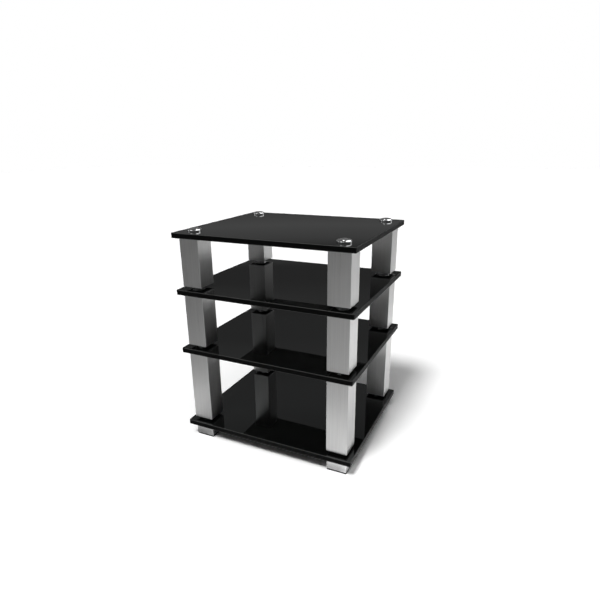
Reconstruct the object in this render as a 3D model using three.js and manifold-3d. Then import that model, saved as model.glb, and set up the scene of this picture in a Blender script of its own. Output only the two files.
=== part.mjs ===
// Audio equipment rack: four black glass shelves on square aluminium pillars.
// The base is a glass shelf on four feet. Each of the three tiers above it is one glass shelf with
// four pillars bolted under it, and it stands, free to be lifted off, on the domed cap bolts of the
// shelf below. Millimetres, +Z up, +X to the right, front at -Y. The origin is on the floor under
// the middle of the rack.

import * as THREE from "three";
import * as BufferGeometryUtils from "three/addons/utils/BufferGeometryUtils.js";
import Module from "manifold-3d";

// Glass shelves
const shelfWidth = 650;
const shelfDepth = 550;
const shelfThickness = 18;
const shelfCornerRadius = 2.8;
const shelfArris = 1.2;

// Clear heights of the three bays, from the top of one shelf to the underside of the next
const lowerBayHeight = 280;
const middleBayHeight = 200;
const topBayHeight = 180;

// Pillars: square extrusion with a cross of webs and a screw boss down the middle
const pillarSide = 75;
const pillarInset = 18.5;
const pillarWall = 5;
const pillarWeb = 4;
const pillarCornerRadius = 0.5;
const pillarEndChamfer = 1;
const screwBossWall = 6;

// Domed cap bolts that clamp each shelf to the pillar or foot under it
const capRadius = 24;
const capRimHeight = 4.5;
const capRise = 7.5;
const boltRadius = 6;
const boltGrip = 25;
const glassHoleClearance = 0.5;
const threadClearance = 0.3;

// Sockets: plugs in the lower ends of the pillars, each with a cone that sits over a cap
const socketHeight = 16;
const socketFit = 0.2;
const capEngagement = 3;
const capClearance = 0.3;
const coneContactShare = 0.7;

// Feet and their pads
const footSide = 72;
const footHeight = 43;
const footCornerRadius = 0.5;
const footEndChamfer = 1.5;
const padHeight = 5;
const padInset = 0.5;

// Hairline between faces that are clamped or stuck together, and how far cutters run past a face
const seatClearance = 0.1;
const overrun = 2;

// Facets: steps in one quarter of a corner, in a whole turn, and from a cap's rim to its crown
const cornerSteps = 2;
const turnSteps = 24;
const domeSteps = 5;

const pillarAxisX = shelfWidth / 2 - pillarInset - pillarSide / 2;
const pillarAxisY = shelfDepth / 2 - pillarInset - pillarSide / 2;
const pillarInside = pillarSide - 2 * pillarWall;
const capHeight = capRimHeight + capRise;
const pillarGap = seatClearance + capHeight - capEngagement;
const threadHoleRadius = boltRadius + threadClearance;

const corners = [
  { name: "front_left", sideX: -1, sideY: -1 },
  { name: "front_right", sideX: 1, sideY: -1 },
  { name: "back_left", sideX: -1, sideY: 1 },
  { name: "back_right", sideX: 1, sideY: 1 },
];

const wasm = await Module();
wasm.setup();

// Closed solid from a geometry, with shared corners merged and flat triangles dropped.
function solidOf(geometry) {
  const bare = geometry.clone();
  bare.deleteAttribute("normal");
  bare.deleteAttribute("uv");
  const merged = BufferGeometryUtils.mergeVertices(bare);
  const index = merged.index.array;
  const triangles = [];
  for (let i = 0; i < index.length; i += 3) {
    const [a, b, c] = index.slice(i, i + 3);
    if (a !== b && b !== c && c !== a) triangles.push(a, b, c);
  }
  return new wasm.Manifold(new wasm.Mesh({
    numProp: 3,
    vertProperties: new Float32Array(merged.attributes.position.array),
    triVerts: new Uint32Array(triangles),
  }));
}

// Geometry from a solid, for a mesh.
function geometryOf(solid) {
  const { vertProperties, triVerts } = solid.getMesh();
  const geometry = new THREE.BufferGeometry();
  geometry.setAttribute("position", new THREE.BufferAttribute(vertProperties, 3));
  geometry.setIndex(new THREE.BufferAttribute(triVerts, 1));
  geometry.computeVertexNormals();
  return geometry;
}

// Outline of a rectangle about the origin with rounded corners.
function roundedRectangle(width, depth, radius) {
  const x = width / 2 - radius;
  const y = depth / 2 - radius;
  const quarter = Math.PI / 2;
  const shape = new THREE.Shape();
  shape.absarc(x, y, radius, 0, quarter);
  shape.absarc(-x, y, radius, quarter, 2 * quarter);
  shape.absarc(-x, -y, radius, 2 * quarter, 3 * quarter);
  shape.absarc(x, -y, radius, 3 * quarter, 4 * quarter);
  shape.closePath();
  return shape;
}

// Rectangular block from z = 0 to its height, with chamfered ends. The radius is that of an end
// face's corners, and the upright edges are rounder by the chamfer.
function chamferedBlock(width, depth, height, radius, chamfer) {
  const outline = roundedRectangle(width - 2 * chamfer, depth - 2 * chamfer, radius);
  const geometry = new THREE.ExtrudeGeometry(outline, {
    depth: height - 2 * chamfer,
    curveSegments: cornerSteps,
    bevelEnabled: true,
    bevelThickness: chamfer,
    bevelSize: chamfer,
    bevelSegments: 1,
  });
  return geometry.translate(0, 0, chamfer);
}

// Upright round bar about an axis, from one height to another.
function uprightBar(radius, bottom, top, x = 0, y = 0) {
  const profile = [
    new THREE.Vector2(0, bottom),
    new THREE.Vector2(radius, bottom),
    new THREE.Vector2(radius, top),
    new THREE.Vector2(0, top),
  ];
  const geometry = new THREE.LatheGeometry(profile, turnSteps);
  return geometry.rotateX(Math.PI / 2).translate(x, y, 0);
}

// Glass shelf, underside at z = 0, with ground edges and a drilled hole over each pillar.
function shelfGeometry() {
  let glass = solidOf(chamferedBlock(
    shelfWidth, shelfDepth, shelfThickness, shelfCornerRadius, shelfArris));
  for (const corner of corners) {
    const hole = uprightBar(
      boltRadius + glassHoleClearance, -overrun, shelfThickness + overrun,
      corner.sideX * pillarAxisX, corner.sideY * pillarAxisY);
    glass = glass.subtract(solidOf(hole));
  }
  return geometryOf(glass);
}

// One of the four hollows of the extrusion, between two webs, two walls and the screw boss.
function pillarHollow(length) {
  const web = pillarWeb / 2;
  const wall = pillarInside / 2;
  const bossRadius = threadHoleRadius + screwBossWall;
  const bossMeetsWeb = Math.sqrt(bossRadius ** 2 - web ** 2);
  const turn = Math.asin(web / bossRadius);
  const shape = new THREE.Shape();
  shape.moveTo(bossMeetsWeb, web);
  shape.lineTo(wall, web);
  shape.lineTo(wall, wall);
  shape.lineTo(web, wall);
  shape.lineTo(web, bossMeetsWeb);
  shape.absarc(0, 0, bossRadius, Math.PI / 2 - turn, turn, true);
  const geometry = new THREE.ExtrudeGeometry(shape, {
    depth: length + 2 * overrun,
    curveSegments: cornerSteps,
    bevelEnabled: false,
  });
  return geometry.translate(0, 0, -overrun);
}

// Pillar with its lower end at z = 0, milled out there for the socket.
function pillarGeometry(length) {
  let pillar = solidOf(chamferedBlock(
    pillarSide, pillarSide, length, pillarCornerRadius, pillarEndChamfer));
  for (const quarterTurns of [0, 1, 2, 3]) {
    const hollow = pillarHollow(length).rotateZ(quarterTurns * Math.PI / 2);
    pillar = pillar.subtract(solidOf(hollow));
  }
  const screwHole = uprightBar(threadHoleRadius, -overrun, length + overrun);
  const pocket = new THREE.BoxGeometry(pillarInside, pillarInside, socketHeight + overrun);
  pocket.translate(0, 0, (socketHeight - overrun) / 2);
  return geometryOf(pillar.subtract(solidOf(screwHole)).subtract(solidOf(pocket)));
}

// Socket, flush with the pillar's lower end at z = 0. Its cone touches the dome on a ring, and is
// as steep as the dome is there.
function socketGeometry() {
  const side = pillarInside - 2 * socketFit;
  const height = socketHeight - socketFit;
  const block = new THREE.BoxGeometry(side, side, height).translate(0, 0, height / 2);
  const ringTurn = Math.asin(coneContactShare);
  const ringRadius = capRadius * coneContactShare;
  const ringDrop = capRise * (1 - Math.cos(ringTurn));
  const slope = capRise / capRadius * Math.tan(ringTurn);
  const apex = capEngagement - ringDrop + ringRadius * slope + capClearance;
  const profile = [
    new THREE.Vector2(0, -overrun),
    new THREE.Vector2((apex + overrun) / slope, -overrun),
    new THREE.Vector2(0, apex),
  ];
  const cone = new THREE.LatheGeometry(profile, turnSteps).rotateX(Math.PI / 2);
  return geometryOf(solidOf(block).subtract(solidOf(cone)));
}

// Cap bolt with the underside of its head at z = 0 and its shank hanging below. The head has an
// upright rim under a dome whose section is half an ellipse.
function capBoltGeometry() {
  const tip = -(shelfThickness + 2 * seatClearance + boltGrip);
  const profile = [
    new THREE.Vector2(0, tip),
    new THREE.Vector2(boltRadius, tip),
    new THREE.Vector2(boltRadius, 0),
    new THREE.Vector2(capRadius, 0),
  ];
  for (let step = 0; step < domeSteps; step += 1) {
    const turn = Math.PI / 2 * (1 - step / domeSteps);
    profile.push(new THREE.Vector2(
      capRadius * Math.sin(turn), capRimHeight + capRise * Math.cos(turn)));
  }
  profile.push(new THREE.Vector2(0, capHeight));
  return new THREE.LatheGeometry(profile, turnSteps).rotateX(Math.PI / 2);
}

// Foot with its lower face at z = 0 and a blind threaded hole from above.
function footGeometry() {
  const block = chamferedBlock(footSide, footSide, footHeight, footCornerRadius, footEndChamfer);
  const holeBottom = footHeight - boltGrip - threadClearance;
  const hole = uprightBar(threadHoleRadius, holeBottom, footHeight + overrun);
  return geometryOf(solidOf(block).subtract(solidOf(hole)));
}

// Pad stuck under a foot, lower face at z = 0.
function padGeometry() {
  const side = footSide - 2 * padInset;
  const outline = roundedRectangle(side, side, footCornerRadius);
  return new THREE.ExtrudeGeometry(outline, {
    depth: padHeight,
    curveSegments: cornerSteps,
    bevelEnabled: false,
  });
}

function blackGlass() {
  return new THREE.MeshStandardMaterial({ color: 0x0d0e0e, roughness: 0.04, metalness: 0 });
}

function brushedAluminium() {
  return new THREE.MeshStandardMaterial({ color: 0xb9bab8, roughness: 0.36, metalness: 1 });
}

function polishedAluminium() {
  return new THREE.MeshStandardMaterial({ color: 0xcfd0ce, roughness: 0.2, metalness: 1 });
}

function chromePlate() {
  return new THREE.MeshStandardMaterial({ color: 0xe2e3e3, roughness: 0.06, metalness: 1 });
}

function blackNylon() {
  return new THREE.MeshStandardMaterial({ color: 0x151515, roughness: 0.55, metalness: 0 });
}

function blackRubber() {
  return new THREE.MeshStandardMaterial({ color: 0x121212, roughness: 0.85, metalness: 0 });
}

function addPiece(group, name, geometry, material, x, y, z) {
  const mesh = new THREE.Mesh(geometry, material);
  mesh.name = name;
  mesh.position.set(x, y, z);
  group.add(mesh);
}

// One piece of the same kind over or under each corner of a shelf.
function addAtCorners(group, kind, geometry, material, z) {
  for (const corner of corners) {
    const x = corner.sideX * pillarAxisX;
    const y = corner.sideY * pillarAxisY;
    addPiece(group, `${kind}_${corner.name}`, geometry, material, x, y, z);
  }
}

// A shelf and its four cap bolts, with the shelf's underside at the given height.
function addShelf(group, level, underside) {
  const capSeat = underside + shelfThickness + seatClearance;
  addPiece(group, `${level}_shelf`, shelfGeometry(), blackGlass(), 0, 0, underside);
  addAtCorners(group, `${level}_cap_bolt`, capBoltGeometry(), chromePlate(), capSeat);
}

// The base stands on the floor. Its height is the top of its shelf.
function makeBase() {
  const base = new THREE.Group();
  const footBottom = padHeight + seatClearance;
  const underside = footBottom + footHeight + seatClearance;
  addAtCorners(base, "foot_pad", padGeometry(), blackRubber(), 0);
  addAtCorners(base, "foot", footGeometry(), polishedAluminium(), footBottom);
  addShelf(base, "base", underside);
  return { group: base, height: underside + shelfThickness };
}

// A tier stands at z = 0 on the top of the shelf below, with its pillars clear of the glass.
function makeTier(level, bayHeight) {
  const tier = new THREE.Group();
  const length = bayHeight - seatClearance - pillarGap;
  addAtCorners(tier, `${level}_pillar`, pillarGeometry(length), brushedAluminium(), pillarGap);
  addAtCorners(tier, `${level}_socket`, socketGeometry(), blackNylon(), pillarGap);
  addShelf(tier, level, bayHeight);
  return { group: tier, height: bayHeight + shelfThickness };
}

const rack = new THREE.Group();
const stack = [
  makeBase(),
  makeTier("lower", lowerBayHeight),
  makeTier("middle", middleBayHeight),
  makeTier("top", topBayHeight),
];
let standing = 0;
for (const { group, height } of stack) {
  group.position.z = standing;
  rack.add(group);
  standing += height;
}

export default rack;
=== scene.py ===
import math

import bmesh
import bpy
from mathutils import Matrix, Vector


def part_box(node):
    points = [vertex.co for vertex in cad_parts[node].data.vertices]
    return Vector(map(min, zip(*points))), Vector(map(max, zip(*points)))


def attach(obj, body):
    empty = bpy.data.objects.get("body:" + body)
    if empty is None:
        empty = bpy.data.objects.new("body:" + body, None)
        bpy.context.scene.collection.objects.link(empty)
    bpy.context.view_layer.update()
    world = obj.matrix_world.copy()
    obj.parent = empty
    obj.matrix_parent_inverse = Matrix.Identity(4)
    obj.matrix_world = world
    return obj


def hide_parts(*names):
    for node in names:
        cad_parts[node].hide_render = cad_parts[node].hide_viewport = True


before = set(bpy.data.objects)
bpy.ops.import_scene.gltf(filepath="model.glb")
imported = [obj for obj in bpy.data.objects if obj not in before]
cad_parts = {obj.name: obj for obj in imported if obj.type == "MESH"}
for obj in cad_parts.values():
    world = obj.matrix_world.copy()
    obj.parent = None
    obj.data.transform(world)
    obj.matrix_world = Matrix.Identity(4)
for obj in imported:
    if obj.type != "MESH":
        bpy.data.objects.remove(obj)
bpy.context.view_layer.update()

# Rubber pads: thin square slips of black rubber, cut with round corners and stuck under the feet.
# They grip the floor and keep the metal off it.
mm = 0.001
corner_names = ("front_left", "front_right", "back_left", "back_right")
least_corner = 0.1 * mm
smooth_up_to = math.radians(40)
flat_faces_weight = 100
mix_sockets = {"RGBA": (6, 7, 2), "FLOAT": (2, 3, 0)}
pad_corner = 2.5 * mm
pad_edge = 0.6 * mm
pad_black = (0.008, 0.008, 0.008, 1)
pad_dust = (0.03, 0.029, 0.028, 1)
# A finish has its grains to the metre along each axis, the grain's range that counts, its roughness
# from and to, and the strength and depth of its relief.
pad_specular = 0.3
pad_pores = (900, 900, 900)
pad_patches = (60, 60, 200)
pad_dust_share = (0.0, 0.6)
pad_dust_between = (0.5, 0.8)
pad_roughness = (0.75, 0.95)
pad_relief = (0.5, 0.1 * mm)


def rounded_outline(half_x, half_y, radius, steps=8):
    """Points anticlockwise round a rectangle with rounded corners, as seen from above."""
    signs = ((1, 1), (-1, 1), (-1, -1), (1, -1))
    points = []
    for corner, (side_x, side_y) in enumerate(signs):
        for step in range(steps + 1):
            angle = math.pi / 2 * (corner + step / steps)
            x = side_x * (half_x - radius) + radius * math.cos(angle)
            y = side_y * (half_y - radius) + radius * math.sin(angle)
            points.append((x, y))
    return points


def round_edge(radius, steps=4):
    """Steps over a rounded edge, from the flat end face to the side: inset and depth below the face."""
    turns = [math.pi / 2 * step / steps for step in range(steps + 1)]
    return [(radius * (1 - math.sin(turn)), radius * (1 - math.cos(turn))) for turn in turns]


def new_mesh():
    """An empty mesh whose points carry a share of edge wear."""
    mesh = bmesh.new()
    mesh.verts.layers.float.new("wear")
    return mesh


def add_ring(mesh, points, height, wear=0.0):
    """One closed ring of points at a height, each with its share of edge wear."""
    layer = mesh.verts.layers.float["wear"]
    ring = [mesh.verts.new((x, y, height)) for x, y in points]
    for vert in ring:
        vert[layer] = wear
    return ring


def join_rings(mesh, rings):
    """A skin from each ring to the next one. Rings run anticlockwise, so the first is the lowest."""
    for below, above in zip(rings, rings[1:]):
        for i in range(len(below)):
            mesh.faces.new((below[i - 1], below[i], above[i], above[i - 1]))


def fill_face(mesh, *rings):
    """A flat face that the first ring bounds, with the other rings as holes in it."""
    edges = [mesh.edges.get((ring[i - 1], ring[i])) for ring in rings for i in range(len(ring))]
    bmesh.ops.triangle_fill(mesh, use_beauty=True, edges=edges)


def block_rings(mesh, half_x, half_y, corner, low, high, edge, wear_width):
    """Rings up a block with rounded corners and edges, each edge with a band of wear on either side."""
    rise = [(edge + wear_width, 0.0, 0.0)]
    rise += [(inset, depth, 1.0) for inset, depth in round_edge(edge)]
    rise += [(0.0, edge + wear_width, 0.0)]
    levels = [(inset, low + depth, wear) for inset, depth, wear in rise]
    levels += [(inset, high - depth, wear) for inset, depth, wear in reversed(rise)]
    rings = []
    for inset, height, wear in levels:
        outline = rounded_outline(half_x - inset, half_y - inset, max(corner - inset, least_corner))
        rings.append(add_ring(mesh, outline, height, wear))
    join_rings(mesh, rings)
    return rings


def add_piece(mesh, name, centre, material, slot, body, *nodes):
    """Puts a mesh in its place as a smooth piece, on its body and instead of its CAD node."""
    bmesh.ops.recalc_face_normals(mesh, faces=mesh.faces)
    data = bpy.data.meshes.new(name)
    mesh.to_mesh(data)
    mesh.free()
    data.transform(Matrix.Translation(centre))
    data.shade_smooth()
    data.set_sharp_from_angle(angle=smooth_up_to)
    data.materials.append(material)
    piece = bpy.data.objects.new(name, data)
    bpy.context.scene.collection.objects.link(piece)
    weighted = piece.modifiers.new("flat_faces", "WEIGHTED_NORMAL")
    weighted.weight = flat_faces_weight
    weighted.keep_sharp = True
    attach(piece, body)
    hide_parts(*nodes)
    return piece


def centre_of(node):
    """Middle of a node's footprint at the height of its lower face, and its size."""
    low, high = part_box(node)
    return Vector(((low.x + high.x) / 2, (low.y + high.y) / 2, low.z)), high - low


def feed(tree, socket, value):
    """Links another node's output to a socket, or sets the socket to a value."""
    if isinstance(value, bpy.types.NodeSocket):
        tree.links.new(value, socket)
    else:
        socket.default_value = value


def add_node(tree, kind, inputs, **settings):
    """A shader node whose inputs are set to values or linked to other nodes' outputs."""
    node = tree.nodes.new(kind)
    for name, value in settings.items():
        setattr(node, name, value)
    for name, value in inputs.items():
        feed(tree, node.inputs[name], value)
    return node


def new_material(name, **constants):
    """A material with its node tree and its shader, and the shader's fixed values set."""
    material = bpy.data.materials.new(name)
    material.use_nodes = True
    shader = material.node_tree.nodes["Principled BSDF"]
    for socket, value in constants.items():
        shader.inputs[socket.replace("_", " ")].default_value = value
    return material, material.node_tree, shader


def grain(tree, per_metre, detail=2.0, roughness=0.5):
    """Noise in the piece's own space, with so many grains to the metre along each axis."""
    place = add_node(tree, "ShaderNodeTexCoord", {})
    scaled = add_node(tree, "ShaderNodeMapping", {"Vector": place.outputs["Object"], "Scale": per_metre})
    noise = add_node(tree, "ShaderNodeTexNoise", {
        "Vector": scaled.outputs["Vector"], "Scale": 1.0, "Detail": detail, "Roughness": roughness})
    return noise.outputs["Fac"]


def spread(tree, value, low, high, start=0.3, end=0.7):
    """A value's range from start to end, spread from low to high and held there."""
    node = add_node(tree, "ShaderNodeMapRange", {
        "Value": value, "From Min": start, "From Max": end, "To Min": low, "To Max": high})
    return node.outputs["Result"]


def blend(tree, share, plain, other, kind):
    """A colour or value that goes from the plain one to the other by a share."""
    first, second, result = mix_sockets[kind]
    node = add_node(tree, "ShaderNodeMix", {"Factor": share}, data_type=kind)
    feed(tree, node.inputs[first], plain)
    feed(tree, node.inputs[second], other)
    return node.outputs[result]


def blend_colour(tree, share, plain, other):
    """A colour that goes from the plain one to the other by a share."""
    return blend(tree, share, plain, other, "RGBA")


def blend_value(tree, share, plain, other):
    """A value that goes from the plain one to the other by a share."""
    return blend(tree, share, plain, other, "FLOAT")


def edge_wear(tree):
    """The share of edge wear that the points of a piece carry."""
    return add_node(tree, "ShaderNodeAttribute", {}, attribute_name="wear").outputs["Fac"]


def dress(tree, shader, colour, roughness, height, strength, depth):
    """Gives a shader its colour and roughness, and a relief from a height, so many metres deep."""
    relief = add_node(tree, "ShaderNodeBump", {"Height": height, "Strength": strength, "Distance": depth})
    tree.links.new(colour, shader.inputs["Base Color"])
    tree.links.new(roughness, shader.inputs["Roughness"])
    tree.links.new(relief.outputs["Normal"], shader.inputs["Normal"])


def rubber():
    """Black rubber with fine pores and patches of dust."""
    material, tree, shader = new_material("black_rubber", Specular_IOR_Level=pad_specular)
    pores = grain(tree, pad_pores, detail=4)
    dust = spread(tree, grain(tree, pad_patches), *pad_dust_share, *pad_dust_between)
    colour = blend_colour(tree, dust, pad_black, pad_dust)
    dress(tree, shader, colour, spread(tree, pores, *pad_roughness), pores, *pad_relief)
    return material


pad_material = rubber()
for corner_name in corner_names:
    pad_node = f"foot_pad_{corner_name}"
    pad_centre, pad_size = centre_of(pad_node)
    pad_mesh = new_mesh()
    pad_rings = block_rings(
        pad_mesh, pad_size.x / 2, pad_size.y / 2, pad_corner, 0, pad_size.z, pad_edge, pad_edge)
    fill_face(pad_mesh, pad_rings[0])
    fill_face(pad_mesh, pad_rings[-1])
    add_piece(
        pad_mesh, f"rubber_pad_{corner_name}", pad_centre, pad_material, "pad_rubber", "base", pad_node)

# Feet: square blocks sawn from solid aluminium bar, with broken edges and finely satin faces.
# The base shelf's cap bolts screw into a blind threaded hole in the top of each one.
foot_corner = 2 * mm
foot_edge = 1.2 * mm
foot_hole_radius = 6.3 * mm
foot_hole_depth = 25.3 * mm
hole_steps = 32
foot_bright = (0.95, 0.95, 0.95, 1)
foot_shade = (0.80, 0.80, 0.80, 1)
# Painted shade: the feet are coloured towards this darker tone near the floor.
foot_painted_shade = (0.22, 0.22, 0.215, 1)
foot_anisotropy = 0.4
foot_lines = (25, 25, 1500)
foot_clouds = (30, 30, 30)
foot_shade_share = (0.0, 0.6)
foot_roughness = (0.2, 0.3)
foot_dull_roughness = 0.32
foot_worn_roughness = 0.14
# Painted shade: its share at the bottom and at the top of the feet, and the heights it runs between.
foot_painted_shade_share = (0.35, 0.0)
foot_painted_shade_between = (2 * mm, 42 * mm)
foot_relief = (0.25, 0.03 * mm)


def circle_outline(radius, steps=hole_steps, centre=(0.0, 0.0)):
    """Points anticlockwise round a circle, as seen from above."""
    turns = [2 * math.pi * step / steps for step in range(steps)]
    return [(centre[0] + radius * math.cos(turn), centre[1] + radius * math.sin(turn)) for turn in turns]


def satin_aluminium():
    """Bright aluminium with fine level lines and polished edges, with shade painted darker towards the
    floor.
    """
    material, tree, shader = new_material("satin_aluminium", Metallic=1.0, Anisotropic=foot_anisotropy)
    wear = edge_wear(tree)
    lines = grain(tree, foot_lines)
    clouds = grain(tree, foot_clouds, detail=3)
    colour = blend_colour(tree, spread(tree, lines, *foot_shade_share), foot_bright, foot_shade)
    rough = blend_value(tree, clouds, spread(tree, lines, *foot_roughness), foot_dull_roughness)
    place = add_node(tree, "ShaderNodeTexCoord", {})
    ways = add_node(tree, "ShaderNodeSeparateXYZ", {0: place.outputs["Object"]})
    # Painted shade, darker towards the floor.
    painted_floor_shade = spread(tree, ways.outputs["Z"], *foot_painted_shade_share, *foot_painted_shade_between)
    colour = blend_colour(tree, painted_floor_shade, colour, foot_painted_shade)
    dress(
        tree, shader, blend_colour(tree, wear, colour, foot_bright),
        blend_value(tree, wear, rough, foot_worn_roughness), lines, *foot_relief)
    return material


foot_material = satin_aluminium()
for corner_name in corner_names:
    foot_node = f"foot_{corner_name}"
    foot_centre, foot_size = centre_of(foot_node)
    foot_mesh = new_mesh()
    foot_rings = block_rings(
        foot_mesh, foot_size.x / 2, foot_size.y / 2, foot_corner, 0, foot_size.z, foot_edge, foot_edge)
    hole = circle_outline(foot_hole_radius)
    hole_floor = add_ring(foot_mesh, hole, foot_size.z - foot_hole_depth)
    hole_mouth = add_ring(foot_mesh, hole, foot_size.z)
    join_rings(foot_mesh, [hole_floor, hole_mouth])
    fill_face(foot_mesh, foot_rings[0])
    fill_face(foot_mesh, hole_floor)
    fill_face(foot_mesh, foot_rings[-1], hole_mouth)
    add_piece(
        foot_mesh, f"metal_foot_{corner_name}", foot_centre, foot_material, "foot_aluminium", "base",
        foot_node)

# Glass shelves: thick sheets of toughened black glass with a polished top, flat ground edges, a fine
# arris and slightly rounded corners. The underside is stove-enamelled a matt black. Each sheet has a
# drilled hole over every pillar for its cap bolts.
tiers = ("base", "lower", "middle", "top")
glass_corner = 4 * mm
glass_arris = 1.2 * mm
glass_hole_radius = 6.5 * mm
# The band along the arris that is polished and also painted paler as a highlight.
arris_polish_and_highlight_width = 0.8 * mm
facing_up = 0.99
glass_black = (0.0020, 0.0022, 0.0021, 1)
glass_dust = (0.014, 0.015, 0.015, 1)
glass_tint = (0.94, 1.0, 1.0, 1)
glass_ior = 1.5
glass_smears = (9, 9, 9)
glass_smears_between = (0.5, 0.8)
glass_specks = (420, 420, 420)
glass_specks_between = (0.72, 0.8)
glass_roughness = (0.02, 0.06)
glass_waves = (5, 5, 5)
glass_relief = (0.3, 0.2 * mm)
ground_black = (0.0016, 0.0017, 0.0016, 1)
# Painted highlight: the arris is painted this paler colour, so that it shows as a thin bright line.
arris_painted_highlight = (0.05, 0.051, 0.05, 1)
ground_specular = 0.05
ground_scratches = (30, 30, 2500)
ground_roughness = (0.42, 0.56)
ground_worn_roughness = 0.2
ground_relief = (0.2, 0.01 * mm)
enamel_black = (0.047, 0.047, 0.047, 1)
enamel_dull = (0.054, 0.054, 0.053, 1)
enamel_specular = 0.02
enamel_peel = (300, 300, 300)
enamel_clouds = (16, 16, 16)
enamel_roughness = (0.5, 0.65)
enamel_relief = (0.3, 0.02 * mm)


def body_of(tier):
    """The moving body that a tier's pieces ride on."""
    return "base" if tier == "base" else f"{tier}_tier"


def black_glass():
    """Polished black glass with faint smears, specks of dust and the slow waves of a float sheet."""
    material, tree, shader = new_material("black_glass", IOR=glass_ior, Specular_Tint=glass_tint)
    smears = grain(tree, glass_smears, detail=5, roughness=0.6)
    smears = spread(tree, smears, 0.0, 1.0, *glass_smears_between)
    specks = spread(tree, grain(tree, glass_specks, detail=1), 0.0, 1.0, *glass_specks_between)
    dress(
        tree, shader, blend_colour(tree, specks, glass_black, glass_dust),
        blend_value(tree, smears, *glass_roughness), grain(tree, glass_waves, detail=1), *glass_relief)
    return material


def ground_glass():
    """The sawn and ground edge of the glass, with level scratches and a polished arris painted paler as a
    highlight line.
    """
    material, tree, shader = new_material("ground_glass", Specular_IOR_Level=ground_specular)
    wear = edge_wear(tree)
    scratches = grain(tree, ground_scratches, detail=2)
    rough = spread(tree, scratches, *ground_roughness)
    # The arris band is smoother, and is painted paler as a highlight.
    dress(
        tree, shader, blend_colour(tree, wear, ground_black, arris_painted_highlight),
        blend_value(tree, wear, rough, ground_worn_roughness), scratches, *ground_relief)
    return material


def black_enamel():
    """Matt black stove enamel with an orange peel, a little cloudy."""
    material, tree, shader = new_material("black_enamel", Specular_IOR_Level=enamel_specular)
    orange_peel = grain(tree, enamel_peel, detail=3)
    clouds = spread(tree, grain(tree, enamel_clouds, detail=4), 0.0, 1.0)
    dress(
        tree, shader, blend_colour(tree, clouds, enamel_black, enamel_dull),
        spread(tree, orange_peel, *enamel_roughness), orange_peel, *enamel_relief)
    return material


glass_material = black_glass()
shelf_others = (ground_glass(), black_enamel())
for tier in tiers:
    shelf_node = f"{tier}_shelf"
    shelf_centre, shelf_size = centre_of(shelf_node)
    shelf_mesh = new_mesh()
    shelf_rings = block_rings(
        shelf_mesh, shelf_size.x / 2, shelf_size.y / 2, glass_corner, 0, shelf_size.z, glass_arris,
        arris_polish_and_highlight_width)
    lower_mouths, upper_mouths = [], []
    for corner_name in corner_names:
        bolt_centre = centre_of(f"{tier}_cap_bolt_{corner_name}")[0]
        hole = circle_outline(glass_hole_radius, centre=bolt_centre.xy)
        lower_mouths.append(add_ring(shelf_mesh, hole, 0))
        upper_mouths.append(add_ring(shelf_mesh, hole, shelf_size.z))
        join_rings(shelf_mesh, [lower_mouths[-1], upper_mouths[-1]])
    fill_face(shelf_mesh, shelf_rings[0], *lower_mouths)
    fill_face(shelf_mesh, shelf_rings[-1], *upper_mouths)
    shelf = add_piece(
        shelf_mesh, f"glass_{shelf_node}", shelf_centre, glass_material, "black_glass", body_of(tier),
        shelf_node)
    for other in shelf_others:
        shelf.data.materials.append(other)
    for face in shelf.data.polygons:
        if face.normal.z < facing_up:
            face.material_index = 2 if face.normal.z < -facing_up else 1

# Cap bolts: turned steel bolts whose head has an upright rim and a low dome, polished and chromed.
# Each one clamps a shelf down on the pillar or foot under it, and its dome carries the pillar above.
cap_rim = 4.5 * mm
cap_rim_round = 0.6 * mm
cap_shank_radius = 6 * mm
cap_seat_gap = 0.1 * mm
dome_steps = 24
cap_steps = 72
chrome_bright = (0.88, 0.885, 0.89, 1)
chrome_film = (0.74, 0.75, 0.76, 1)
chrome_patches = (70, 70, 70)
chrome_film_between = (0.45, 0.75)
chrome_hairs = (1200, 1200, 200)
chrome_roughness = (0.03, 0.07)
chrome_film_roughness = 0.12
chrome_relief = (0.1, 0.01 * mm)


def chrome():
    """Chrome plate with polishing hairs and a thin film left by hands."""
    material, tree, shader = new_material("chrome_plate", Metallic=1.0)
    film = spread(tree, grain(tree, chrome_patches, detail=4), 0.0, 1.0, *chrome_film_between)
    hairs = grain(tree, chrome_hairs)
    rough = blend_value(tree, film, spread(tree, hairs, *chrome_roughness), chrome_film_roughness)
    dress(
        tree, shader, blend_colour(tree, film, chrome_bright, chrome_film), rough, hairs, *chrome_relief)
    return material


def cap_profile(radius, rise, shank):
    """Radius and height up a cap bolt, from the tip of its shank over the rim to near the crown."""
    points = [(cap_shank_radius, -shank), (cap_shank_radius, 0.0)]
    points += [(radius - inset, depth) for inset, depth in round_edge(cap_rim_round)]
    for step in range(dome_steps):
        turn = math.pi / 2 * (1 - step / dome_steps)
        points.append((radius * math.sin(turn), cap_rim + (rise - cap_rim) * math.cos(turn)))
    return points


chrome_material = chrome()
for tier in tiers:
    glass_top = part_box(f"{tier}_shelf")[1].z
    for corner_name in corner_names:
        cap_node = f"{tier}_cap_bolt_{corner_name}"
        cap_centre, cap_size = centre_of(cap_node)
        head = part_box(cap_node)[1].z - glass_top - cap_seat_gap
        shank = cap_size.z - head
        cap_mesh = new_mesh()
        cap_rings = [
            add_ring(cap_mesh, circle_outline(radius, cap_steps), shank + height)
            for radius, height in cap_profile(cap_size.x / 2, head, shank)]
        join_rings(cap_mesh, cap_rings)
        fill_face(cap_mesh, cap_rings[0])
        fill_face(cap_mesh, cap_rings[-1])
        add_piece(
            cap_mesh, f"chrome_{cap_node}", cap_centre, chrome_material, "cap_chrome", body_of(tier),
            cap_node)

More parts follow.
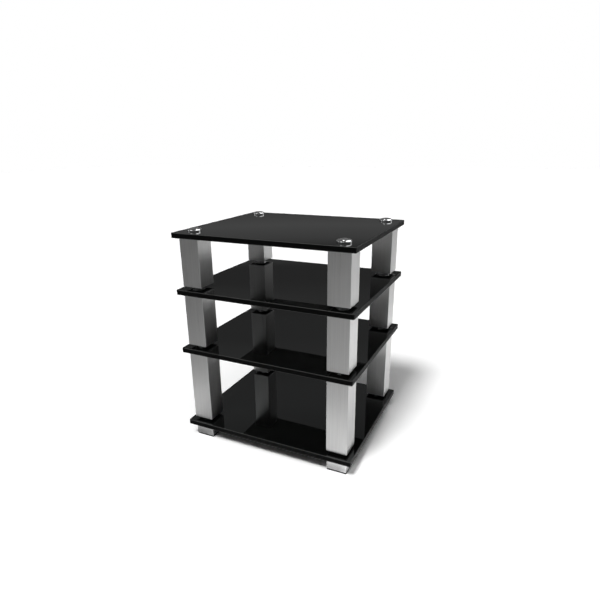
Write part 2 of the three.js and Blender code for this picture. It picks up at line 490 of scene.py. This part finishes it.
# Sockets: square plugs moulded in black nylon and pressed into the lower ends of the pillars.
# A shallow cone in the underside finds the dome of the cap bolt below, and stands on it.
socket_corner = 0.8 * mm
socket_edge = 0.5 * mm
cone_height = 6.3 * mm
cone_mouth_radius = 20.55 * mm
# The cone ends in a small flat, this share of its mouth.
cone_flat_share = 1 / 30
nylon_black = (0.010, 0.010, 0.010, 1)
nylon_worn = (0.035, 0.035, 0.035, 1)
nylon_specular = 0.4
nylon_sparks = (1500, 1500, 1500)
nylon_roughness = (0.45, 0.65)
nylon_relief = (0.4, 0.05 * mm)


def nylon():
    """Black nylon with the fine spark texture of its mould, paler at the edges."""
    material, tree, shader = new_material("black_nylon", Specular_IOR_Level=nylon_specular)
    sparks = grain(tree, nylon_sparks, detail=2)
    dress(
        tree, shader, blend_colour(tree, edge_wear(tree), nylon_black, nylon_worn),
        spread(tree, sparks, *nylon_roughness), sparks, *nylon_relief)
    return material


nylon_material = nylon()
for tier in tiers[1:]:
    for corner_name in corner_names:
        socket_node = f"{tier}_socket_{corner_name}"
        socket_centre, socket_size = centre_of(socket_node)
        socket_mesh = new_mesh()
        socket_rings = block_rings(
            socket_mesh, socket_size.x / 2, socket_size.y / 2, socket_corner, 0, socket_size.z, socket_edge,
            socket_edge)
        mouth = add_ring(socket_mesh, circle_outline(cone_mouth_radius), 0)
        tip = add_ring(
            socket_mesh, circle_outline(cone_mouth_radius * cone_flat_share),
            cone_height * (1 - cone_flat_share))
        join_rings(socket_mesh, [mouth, tip])
        fill_face(socket_mesh, socket_rings[0], mouth)
        fill_face(socket_mesh, tip)
        fill_face(socket_mesh, socket_rings[-1])
        add_piece(
            socket_mesh, f"nylon_{socket_node}", socket_centre, nylon_material, "socket_nylon",
            body_of(tier), socket_node)

# Pillars: lengths of square aluminium extrusion with a cross of webs and a screw boss inside, sawn,
# broken at the ends and brushed from end to end. The shelf above is bolted down into the boss, and the
# lower end is milled out for the socket.
pillar_corner = 1.5 * mm
pillar_end_edge = 1.0 * mm
pillar_wall = 5 * mm
pillar_web = 4 * mm
pillar_hole_radius = 6.3 * mm
pillar_boss_radius = 12.3 * mm
boss_steps = 6
pocket_depth = 16 * mm
pocket_rim = 0.3 * mm
pocket_corner = 0.2 * mm
pillar_wear_width = 1.2 * mm
pillar_bright = (0.63, 0.63, 0.627, 1)
pillar_shade = (0.55, 0.55, 0.547, 1)
pillar_polished = (0.88, 0.88, 0.875, 1)
pillar_anisotropy = 0.8
pillar_lines = (1400, 1400, 9)
pillar_bands = (190, 190, 2.5)
pillar_bands_share = 0.5
pillar_tone_between = (0.35, 0.65)
pillar_hands = (14, 14, 8)
pillar_hands_between = (0.5, 0.8)
pillar_roughness = (0.26, 0.38)
pillar_hands_roughness = 0.4
pillar_worn_roughness = 0.2
pillar_relief = (0.3, 0.03 * mm)


def brushed_aluminium():
    """Aluminium brushed upright in fine lines and wider bands, dulled by hands, polished at the edges."""
    material, tree, shader = new_material("brushed_aluminium", Metallic=1.0, Anisotropic=pillar_anisotropy)
    wear = edge_wear(tree)
    lines = grain(tree, pillar_lines, detail=3)
    bands = grain(tree, pillar_bands, detail=2)
    hands = grain(tree, pillar_hands, detail=5, roughness=0.6)
    hands = spread(tree, hands, 0.0, 1.0, *pillar_hands_between)
    tone = blend_value(tree, pillar_bands_share, lines, bands)
    brushing = spread(tree, tone, 0.0, 1.0, *pillar_tone_between)
    colour = blend_colour(tree, brushing, pillar_shade, pillar_bright)
    rough = blend_value(tree, hands, spread(tree, tone, *pillar_roughness), pillar_hands_roughness)
    dress(
        tree, shader, blend_colour(tree, wear, colour, pillar_polished),
        blend_value(tree, wear, rough, pillar_worn_roughness), lines, *pillar_relief)
    return material


def hollow_outline(side, quarter):
    """One of the four hollows between two webs, two walls and the boss, turned by quarters."""
    web = pillar_web / 2
    wall = side / 2 - pillar_wall - pocket_rim
    lean = math.asin(web / pillar_boss_radius)
    arc = [lean + (math.pi / 2 - 2 * lean) * step / boss_steps for step in range(boss_steps + 1)]
    points = [(wall, web), (wall, wall), (web, wall)]
    points += [
        (pillar_boss_radius * math.cos(angle), pillar_boss_radius * math.sin(angle))
        for angle in reversed(arc)]
    turn = Matrix.Rotation(math.pi / 2 * quarter, 2)
    return [tuple(turn @ Vector(point)) for point in points]


pillar_material = brushed_aluminium()
for tier in tiers[1:]:
    for corner_name in corner_names:
        pillar_node = f"{tier}_pillar_{corner_name}"
        pillar_centre, pillar_size = centre_of(pillar_node)
        pillar_half = pillar_size.x / 2
        pillar_mesh = new_mesh()
        pillar_rings = block_rings(
            pillar_mesh, pillar_half, pillar_half, pillar_corner, 0, pillar_size.z, pillar_end_edge,
            pillar_wear_width)
        inside = rounded_outline(pillar_half - pillar_wall, pillar_half - pillar_wall, pocket_corner)
        pocket = [add_ring(pillar_mesh, inside, 0), add_ring(pillar_mesh, inside, pocket_depth)]
        bores = [circle_outline(pillar_hole_radius)]
        bores += [hollow_outline(pillar_size.x, quarter) for quarter in range(4)]
        lower_bores = [add_ring(pillar_mesh, bore, pocket_depth) for bore in bores]
        upper_bores = [add_ring(pillar_mesh, bore, pillar_size.z) for bore in bores]
        join_rings(pillar_mesh, pocket)
        for below, above in zip(lower_bores, upper_bores):
            join_rings(pillar_mesh, [below, above])
        fill_face(pillar_mesh, pillar_rings[0], pocket[0])
        fill_face(pillar_mesh, pocket[1], *lower_bores)
        fill_face(pillar_mesh, pillar_rings[-1], *upper_bores)
        add_piece(
            pillar_mesh, f"brushed_{pillar_node}", pillar_centre, pillar_material, "pillar_aluminium",
            body_of(tier), pillar_node)

# Floor: a plain white sheet. The camera sees it white, with the shadow of the rack on it. Metal and
# glass see it brightest behind the rack on the right and dim far out in front on the left, with
# narrow bright and dim strips close beside the feet.
floor_size = 40.0
floor_white = (0.8, 0.8, 0.8, 1)
floor_seen = (1.12, 1.12, 1.12, 1)
floor_gloss = 1.38
# How bright the floor is at places from the front to the back, and from the left to the right.
pool_reach = 5.0
pool_depth = (
    (-5.0, 0.23), (-4.1, 0.27), (-3.3, 0.31), (-2.6, 0.285), (-2.3, 0.285), (-2.06, 0.32), (-1.67, 0.30),
    (-1.5, 0.34), (-1.35, 0.36), (-1.0, 0.36), (-0.8, 0.38), (-0.675, 0.45), (-0.56, 0.60), (-0.457, 0.65),
    (-0.372, 0.66), (-0.333, 0.8), (-0.294, 0.5), (-0.255, 0.28), (-0.216, 0.7), (-0.12, 0.74),
    (0.35, 0.82), (0.64, 0.84), (1.02, 0.90), (1.27, 0.78), (1.6, 0.68), (2.0, 0.63), (2.4, 0.63),
    (3.2, 0.64), (5.0, 0.56))
pool_side = (
    (-5.0, 0.54), (-2.1, 0.55), (-1.85, 0.57), (-1.6, 0.49), (-1.2, 0.45), (-1.0, 0.60), (-0.85, 0.76),
    (-0.6, 0.84), (-0.48, 1.04), (-0.411, 0.86), (-0.372, 0.66), (-0.333, 0.5), (-0.294, 0.42),
    (-0.255, 0.5), (-0.216, 0.95), (-0.177, 1.08), (0.1, 1.04), (0.294, 0.95), (0.333, 3.0), (0.372, 0.88),
    (0.42, 0.75), (0.48, 0.77), (0.58, 1.15), (0.75, 1.12), (0.88, 1.0), (1.35, 1.0), (1.5, 0.87),
    (5.0, 0.85))


def bare_material(name):
    """A material whose node tree has no shader yet, and that tree."""
    material = bpy.data.materials.new(name)
    material.use_nodes = True
    tree = material.node_tree
    tree.nodes.remove(tree.nodes["Principled BSDF"])
    return material, tree


def fall_of_light(tree, place, stops):
    """A brightness that follows the stops along one coordinate of the floor."""
    share = spread(tree, place, 0.0, 1.0, -pool_reach, pool_reach)
    fall = add_node(tree, "ShaderNodeValToRGB", {"Fac": share})
    ramp = fall.color_ramp.elements
    while len(ramp) < len(stops):
        ramp.new(1.0)
    for stop, (way, light) in zip(ramp, stops):
        stop.position = (way + pool_reach) / (2 * pool_reach)
        stop.color = (light, light, light, 1)
    return fall.outputs["Color"]


def pool_of_light(tree):
    """How bright the floor is for metal and glass, by its depth and its side."""
    place = add_node(tree, "ShaderNodeTexCoord", {})
    ways = add_node(tree, "ShaderNodeSeparateXYZ", {0: place.outputs["Object"]})
    depth = fall_of_light(tree, ways.outputs["Y"], pool_depth)
    side = fall_of_light(tree, ways.outputs["X"], pool_side)
    both = add_node(tree, "ShaderNodeVectorMath", {0: depth, 1: side}, operation="MULTIPLY")
    bright = add_node(tree, "ShaderNodeVectorMath", {
        0: both.outputs["Vector"], "Scale": floor_gloss}, operation="SCALE")
    return bright.outputs["Vector"]


floor_mesh = bmesh.new()
floor_corners = ((-1, -1), (1, -1), (1, 1), (-1, 1))
floor_mesh.faces.new([
    floor_mesh.verts.new((x * floor_size / 2, y * floor_size / 2, 0)) for x, y in floor_corners])
floor_data = bpy.data.meshes.new("floor")
floor_mesh.to_mesh(floor_data)
floor_mesh.free()
floor = bpy.data.objects.new("floor", floor_data)
bpy.context.scene.collection.objects.link(floor)
floor_material, floor_tree = bare_material("floor_white")
floor_rays = add_node(floor_tree, "ShaderNodeLightPath", {})
floor_lit = blend_colour(
    floor_tree, floor_rays.outputs["Is Glossy Ray"], floor_white, pool_of_light(floor_tree))
floor_colour = blend_colour(floor_tree, floor_rays.outputs["Is Camera Ray"], floor_lit, floor_seen)
floor_shader = add_node(floor_tree, "ShaderNodeBsdfDiffuse", {"Color": floor_colour})
floor_tree.links.new(
    floor_shader.outputs["BSDF"], floor_tree.nodes["Material Output"].inputs["Surface"])
floor.data.materials.append(floor_material)

# Backdrop: the world, in place of the studio's white wall. It is white to the camera, metal and
# glass, and gives a plain soft light to the rest.
world_colour = (1, 1, 1, 1)
world_white = 1.0
world_light = 0.06


def seen_directly(tree):
    """1 for what the camera, metal or glass sees, and 0 for light that falls on rough surfaces."""
    rays = add_node(tree, "ShaderNodeLightPath", {})
    direct = add_node(tree, "ShaderNodeMath", {
        0: rays.outputs["Is Camera Ray"], 1: rays.outputs["Is Glossy Ray"]}, operation="MAXIMUM")
    either = add_node(tree, "ShaderNodeMath", {
        0: direct.outputs[0], 1: rays.outputs["Is Transmission Ray"]}, operation="MAXIMUM")
    return either.outputs[0]


world = bpy.data.worlds.new("backdrop")
bpy.context.scene.world = world
world.use_nodes = True
world_tree = world.node_tree
world_strength = blend_value(world_tree, seen_directly(world_tree), world_light, world_white)
world_tree.links.new(world_strength, world_tree.nodes["Background"].inputs["Strength"])
world_tree.nodes["Background"].inputs["Color"].default_value = world_colour

# Studio tent: grey cloth hung all round the rack, a little brighter higher up. It stands for the
# walls and the ceiling that the glass and metal mirror, and only gloss sees it.
tent_radius = 8.0
tent_centre = 0.4
tent_steps = 72
# Elevations and how bright the cloth is there.
tent_rows = (
    (-12, 0.08), (9.5, 0.075), (11.6, 0.13), (13.4, 0.11), (14.6, 0.065), (16.7, 0.075), (19, 0.105),
    (22, 0.125), (25, 0.17), (28, 0.19), (31, 0.17), (34, 0.13), (60, 0.10), (89, 0.08))


def glow_mesh(rows):
    """Points in rows of (place, brightness), which carry their brightness, as a mesh and a grid."""
    mesh = bmesh.new()
    layer = mesh.verts.layers.float.new("glow")
    grid = []
    for row in rows:
        line = []
        for place, glow in row:
            line.append(mesh.verts.new(place))
            line[-1][layer] = glow
        grid.append(line)
    return mesh, grid


def glow_cloth(name, mesh):
    """A sheet that is as bright as its points say, and that only gloss sees."""
    data = bpy.data.meshes.new(name)
    mesh.to_mesh(data)
    mesh.free()
    material, tree = bare_material(name)
    glow = add_node(tree, "ShaderNodeAttribute", {}, attribute_name="glow")
    light = add_node(tree, "ShaderNodeEmission", {"Strength": glow.outputs["Fac"]})
    tree.links.new(light.outputs["Emission"], tree.nodes["Material Output"].inputs["Surface"])
    data.materials.append(material)
    cloth = bpy.data.objects.new(name, data)
    cloth.visible_camera = False
    cloth.visible_diffuse = False
    cloth.visible_shadow = False
    cloth.visible_transmission = False
    cloth.visible_volume_scatter = False
    bpy.context.scene.collection.objects.link(cloth)


def on_tent(azimuth, elevation, radius):
    """The place on a sphere round the rack. The azimuth runs from the front towards the right."""
    turn, rise = math.radians(azimuth), math.radians(elevation)
    return (
        radius * math.sin(turn) * math.cos(rise),
        -radius * math.cos(turn) * math.cos(rise),
        tent_centre + radius * math.sin(rise))


tent_mesh, tent_grid = glow_mesh([
    [(on_tent(360 * step / tent_steps, elevation, tent_radius), glow) for step in range(tent_steps)]
    for elevation, glow in tent_rows])
join_rings(tent_mesh, tent_grid)
glow_cloth("tent", tent_mesh)

# Soft boxes: bright cloths inside the tent, each from one azimuth to another with rows of elevation
# and brightness. They stand for the studio's own, and only gloss sees them. They fade into the tent
# at both sides and over a skirt above and below.
box_radius = 7.0
box_steps = 24
box_fade = 4
box_skirt = 4
soft_boxes = {
    "box_high_right": (56, 184, ((37, 2.2), (72, 2.2))),
    "box_right": (40, 112, ((31, 1.6), (36, 1.6))),
    "box_back_left": (196, 208, ((52, 2.5), (66, 2.5))),
    "box_back_low": (184, 224, ((-4, 1.0), (1.5, 1.0))),
    "box_left": (-76, -50, ((2, 1.7), (9, 1.7))),
    "box_front": (0, 9, ((24, 1.6), (45, 1.6))),
    "box_low_right": (112, 147, (
        (4, 1.3), (12.5, 1.3), (15.5, 1.3), (16.5, 0.5), (20, 0.15), (26, 0.1))),
    "box_front_left": (-40, -12, (
        (2, 0.16), (15, 0.16), (18, 0.2), (22, 0.45), (26, 1.2), (30, 3.0), (45, 3.0))),
}


def tent_glow(elevation):
    """How bright the tent is at an elevation."""
    for (low, dim), (high, bright) in zip(tent_rows, tent_rows[1:]):
        if low <= elevation <= high:
            return dim + (bright - dim) * (elevation - low) / (high - low)


for box_name, (start, end, rows) in soft_boxes.items():
    azimuths = [start + (end - start) * step / box_steps for step in range(box_steps + 1)]
    fades = [min(1.0, step / box_fade, (box_steps - step) / box_fade) for step in range(box_steps + 1)]
    lowest, highest = rows[0][0] - box_skirt, rows[-1][0] + box_skirt
    skirted = ((lowest, tent_glow(lowest)), *rows, (highest, tent_glow(highest)))
    box_mesh, box_grid = glow_mesh([
        [(on_tent(azimuth, elevation, box_radius), tent_glow(elevation) * (1 - fade) + glow * fade)
         for azimuth, fade in zip(azimuths, fades)]
        for elevation, glow in skirted])
    for below, above in zip(box_grid, box_grid[1:]):
        for i in range(box_steps):
            box_mesh.faces.new((below[i], below[i + 1], above[i + 1], above[i]))
    glow_cloth(box_name, box_mesh)

# Lamps: two soft studio lamps, high over the front of the rack, which throw its shadow back and
# under it. Each has an azimuth, an elevation, a width as an angle and a strength. Gloss sees the soft
# boxes in their place.
lamp_distance = 4.0
lamps = {
    "left_lamp": (-9, 60, 13, 2.35),
    "right_lamp": (28, 64, 40, 0.9),
}
for lamp_name, (azimuth, elevation, width, strength) in lamps.items():
    lamp_data = bpy.data.lights.new(lamp_name, "SUN")
    lamp_data.energy = strength
    lamp_data.angle = math.radians(width)
    lamp = bpy.data.objects.new(lamp_name, lamp_data)
    lamp.location = on_tent(azimuth, elevation, lamp_distance)
    lamp.rotation_mode = "QUATERNION"
    lamp.rotation_quaternion = (lamp.location - Vector((0, 0, tent_centre))).to_track_quat("Z", "Y")
    lamp.visible_glossy = False
    bpy.context.scene.collection.objects.link(lamp)

# Camera: it stands where the photograph was taken from, found from the straight edges of the shelves.
# The angles are in radians. The lens is shifted, because the photograph is cut a little off its middle.
camera_place = Vector((0.75697, -1.55068, 1.05599))
camera_azimuth = 0.4515
camera_fall = 0.3461
camera_roll = -0.0139
picture_side = 600
focal_pixels = 485.76
middle_x = 296.84
middle_y = 318.04
sensor_width = 36.0
camera_data = bpy.data.cameras.new("camera")
camera_data.sensor_width = sensor_width
camera_data.lens = focal_pixels / picture_side * sensor_width
camera_data.shift_x = (picture_side / 2 - middle_x) / picture_side
camera_data.shift_y = (middle_y - picture_side / 2) / picture_side
camera = bpy.data.objects.new("camera", camera_data)
ahead = Vector((
    -math.sin(camera_azimuth) * math.cos(camera_fall),
    math.cos(camera_azimuth) * math.cos(camera_fall),
    -math.sin(camera_fall)))
level_right = ahead.cross(Vector((0, 0, 1))).normalized()
level_up = level_right.cross(ahead)
right = math.cos(camera_roll) * level_right + math.sin(camera_roll) * level_up
up = math.cos(camera_roll) * level_up - math.sin(camera_roll) * level_right
camera.matrix_world = Matrix.Translation(camera_place) @ Matrix((right, up, -ahead)).transposed().to_4x4()
bpy.context.scene.collection.objects.link(camera)
bpy.context.scene.camera = camera
bpy.context.scene.view_settings.view_transform = "Standard"
